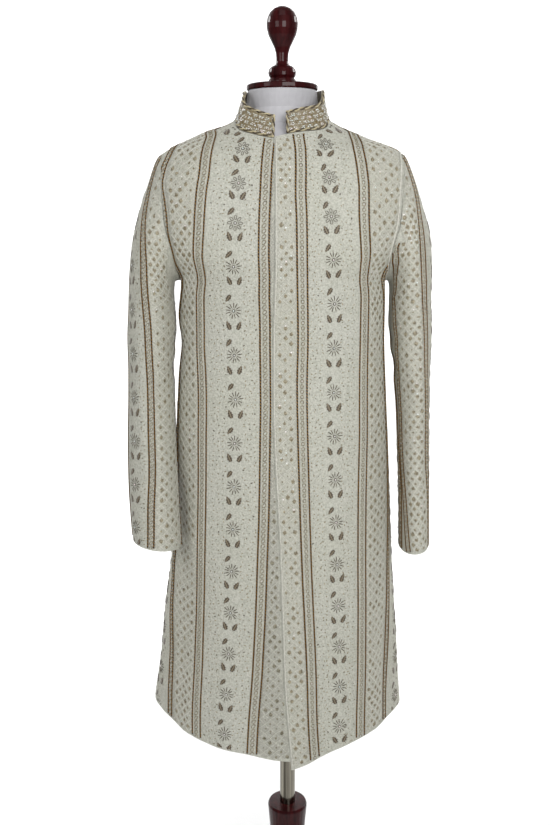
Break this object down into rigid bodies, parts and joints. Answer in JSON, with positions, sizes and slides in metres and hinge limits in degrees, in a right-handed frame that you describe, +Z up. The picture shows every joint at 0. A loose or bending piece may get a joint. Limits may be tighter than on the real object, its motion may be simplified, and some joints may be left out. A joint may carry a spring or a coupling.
{
  "type": "sherwani coat on a limbless dress form with stand",
  "caption": "Long stand-collar coat with an off-centre lapped front, worn by a limbless torso form on a pole, post and round base.",
  "frame": {"origin": "floor under the middle of the stand's base", "axes": "+Z up; the coat's front faces -Y; +X is towards the wearer's left sleeve"},
  "size_m": [0.5301, 0.39, 1.7005],
  "materials": {
    "embroidered_silk": "matte woven silk with cord and thread embroidery",
    "beaded_band": "beaded and corded band",
    "form_cover": "matte grey form cover",
    "mahogany": "dark red gloss varnish",
    "satin_chrome": "satin"
  },
  "bodies": {
    "root": {"front_right": "embroidered_silk", "front_left": "embroidered_silk", "back": "embroidered_silk", "sleeve_right": "embroidered_silk", "sleeve_left": "embroidered_silk", "collar": "beaded_band", "form_body": "form_cover", "neck_cap": "mahogany", "finial": "mahogany", "pole": "satin_chrome", "post": "mahogany", "base": "mahogany"}
  },
  "joints": []
}
